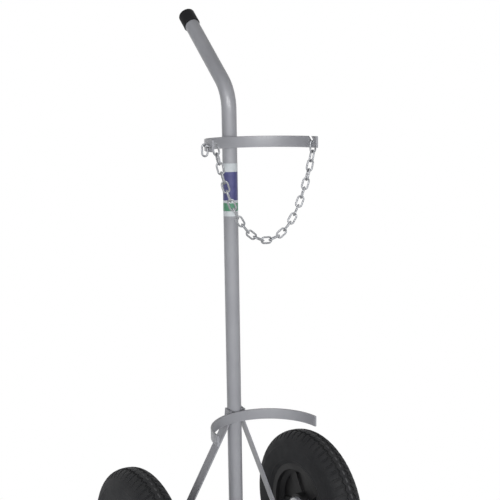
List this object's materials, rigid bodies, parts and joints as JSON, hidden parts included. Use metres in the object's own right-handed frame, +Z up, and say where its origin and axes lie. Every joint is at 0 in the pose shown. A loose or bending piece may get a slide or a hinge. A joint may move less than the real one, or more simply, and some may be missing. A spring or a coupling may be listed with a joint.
{
  "type": "gas cylinder trolley",
  "caption": "Two-wheeled trolley for a gas cylinder: single bent tube with a grip, cradle bands, a safety chain, splayed braces, toe plate and pneumatic wheels.",
  "frame": {"origin": "on the floor under the axis of the carried cylinder, on the underside of the toe plate", "axes": "+Z up along the cylinder, -Y the open loading side, +Y the handle side, +X to the right"},
  "size_m": [0.599, 0.4756, 1.431],
  "materials": {
    "grey_paint": "satin grey paint",
    "zinc": "bright zinc plate",
    "bearing_steel": "ground steel",
    "cap_plastic": "matte black",
    "rim_black": "moulded black",
    "tyre_rubber": "black rubber",
    "tube_rubber": "black rubber"
  },
  "bodies": {
    "frame": {"spine_tube": "grey_paint", "grip_cap": "cap_plastic", "upper_band": "grey_paint", "lower_band": "grey_paint", "toe_plate": "grey_paint", "axle_beam": "grey_paint", "axle": "zinc", "anchor_link": "zinc", "left_brace": "grey_paint", "left_gusset": "grey_paint", "left_axle_bush": "zinc", "left_washers": "zinc", "left_split_pin": "zinc", "right_brace": "grey_paint", "right_gusset": "grey_paint", "right_axle_bush": "zinc", "right_washers": "zinc", "right_split_pin": "zinc"},
    "chain": {"chain_link_01": "zinc", "chain_link_02": "zinc", "chain_link_03": "zinc", "chain_link_04": "zinc", "chain_link_05": "zinc", "chain_link_06": "zinc", "chain_link_07": "zinc", "chain_link_08": "zinc", "chain_link_09": "zinc", "chain_link_10": "zinc", "chain_link_11": "zinc", "chain_link_12": "zinc", "chain_link_13": "zinc", "chain_link_14": "zinc", "chain_link_15": "zinc", "chain_link_16": "zinc", "chain_link_17": "zinc", "chain_link_18": "zinc", "chain_link_19": "zinc", "chain_link_20": "zinc", "chain_link_21": "zinc", "chain_link_22": "zinc", "chain_link_23": "zinc", "chain_link_24": "zinc", "chain_link_25": "zinc"},
    "tail_link": {"tail_link": "zinc"},
    "left_wheel": {"left_tyre": "tyre_rubber", "left_inner_tube": "tube_rubber", "left_rim": "rim_black", "left_hub_tube": "grey_paint", "left_bearings": "bearing_steel", "left_bearing_spacer": "bearing_steel", "left_valve_stem": "tube_rubber", "left_valve_cap": "cap_plastic"},
    "right_wheel": {"right_tyre": "tyre_rubber", "right_inner_tube": "tube_rubber", "right_rim": "rim_black", "right_hub_tube": "grey_paint", "right_bearings": "bearing_steel", "right_bearing_spacer": "bearing_steel", "right_valve_stem": "tube_rubber", "right_valve_cap": "cap_plastic"}
  },
  "joints": [
    {"name": "left_wheel_spin", "type": "hinge", "parent": "frame", "child": "left_wheel", "pos_m": [-0.24, 0.18065, 0.195], "axis": [1, 0, 0], "continuous": true},
    {"name": "right_wheel_spin", "type": "hinge", "parent": "frame", "child": "right_wheel", "pos_m": [0.24, 0.18065, 0.195], "axis": [1, 0, 0], "continuous": true},
    {"name": "chain_swing", "type": "hinge", "parent": "frame", "child": "chain", "pos_m": [0.1274, 0.005, 1.13195], "axis": [0.9987, -0.0517, 0], "range_deg": [-32, 32]},
    {"name": "tail_link_swing", "type": "hinge", "parent": "frame", "child": "tail_link", "pos_m": [-0.13867, 0.0175, 1.13], "axis": [0, 1, 0], "range_deg": [-2, 60]}
  ]
}
